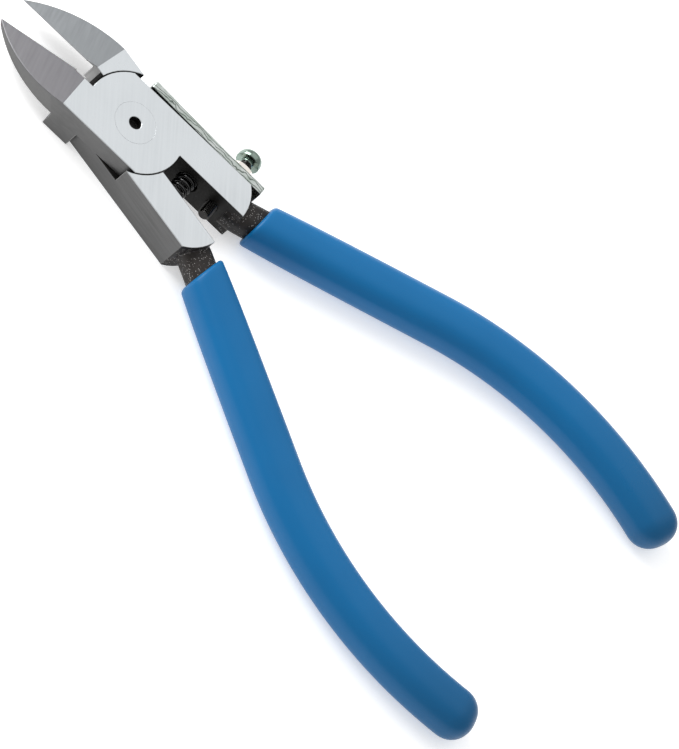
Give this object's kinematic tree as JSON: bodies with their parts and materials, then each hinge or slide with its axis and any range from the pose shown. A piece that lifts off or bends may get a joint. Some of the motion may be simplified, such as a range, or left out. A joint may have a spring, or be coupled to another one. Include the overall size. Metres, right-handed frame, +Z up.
{
  "type": "flush cut pliers",
  "caption": "Flush cutting pliers with a lap joint, return spring, stopper plate, stop screw with lock nut, and dipped handles.",
  "frame": {"origin": "on the pivot axis, at the back face of the joint, which is the plane that the pliers lie on", "axes": "+X from the cutting tips to the handles, +Y towards the handle of the front lever, +Z up along the pivot axis to the front, flush face"},
  "size_m": [0.1534, 0.077, 0.0084],
  "materials": {
    "tool_steel": "ground bright on the faces, dark forging scale elsewhere",
    "rivet_steel": "ground flush",
    "spring_steel": "bright drawn wire",
    "zinc_plate": "bright zinc",
    "zinc_dark": "dark bright zinc",
    "blue_vinyl": "glossy dipped vinyl"
  },
  "bodies": {
    "back_half": {"back_lever": "tool_steel", "pivot_rivet": "rivet_steel", "return_spring": "spring_steel", "back_grip": "blue_vinyl"},
    "front_half": {"front_lever": "tool_steel", "stopper_plate": "zinc_plate", "lock_nut": "zinc_plate", "front_grip": "blue_vinyl"},
    "screw": {"stop_screw": "zinc_dark"}
  },
  "joints": [
    {"name": "jaw_hinge", "type": "hinge", "parent": "back_half", "child": "front_half", "pos_m": [0, 0, 0], "axis": [0, 0, 1], "range_deg": [-12.2, 0], "stiffness_Nm_per_rad": 0.4, "deforming": ["return_spring"]},
    {"name": "stop_screw_travel", "type": "slide", "parent": "front_half", "child": "screw", "axis": [-0.1063, 0.9943, 0], "range_m": [0, 0.00135]}
  ]
}
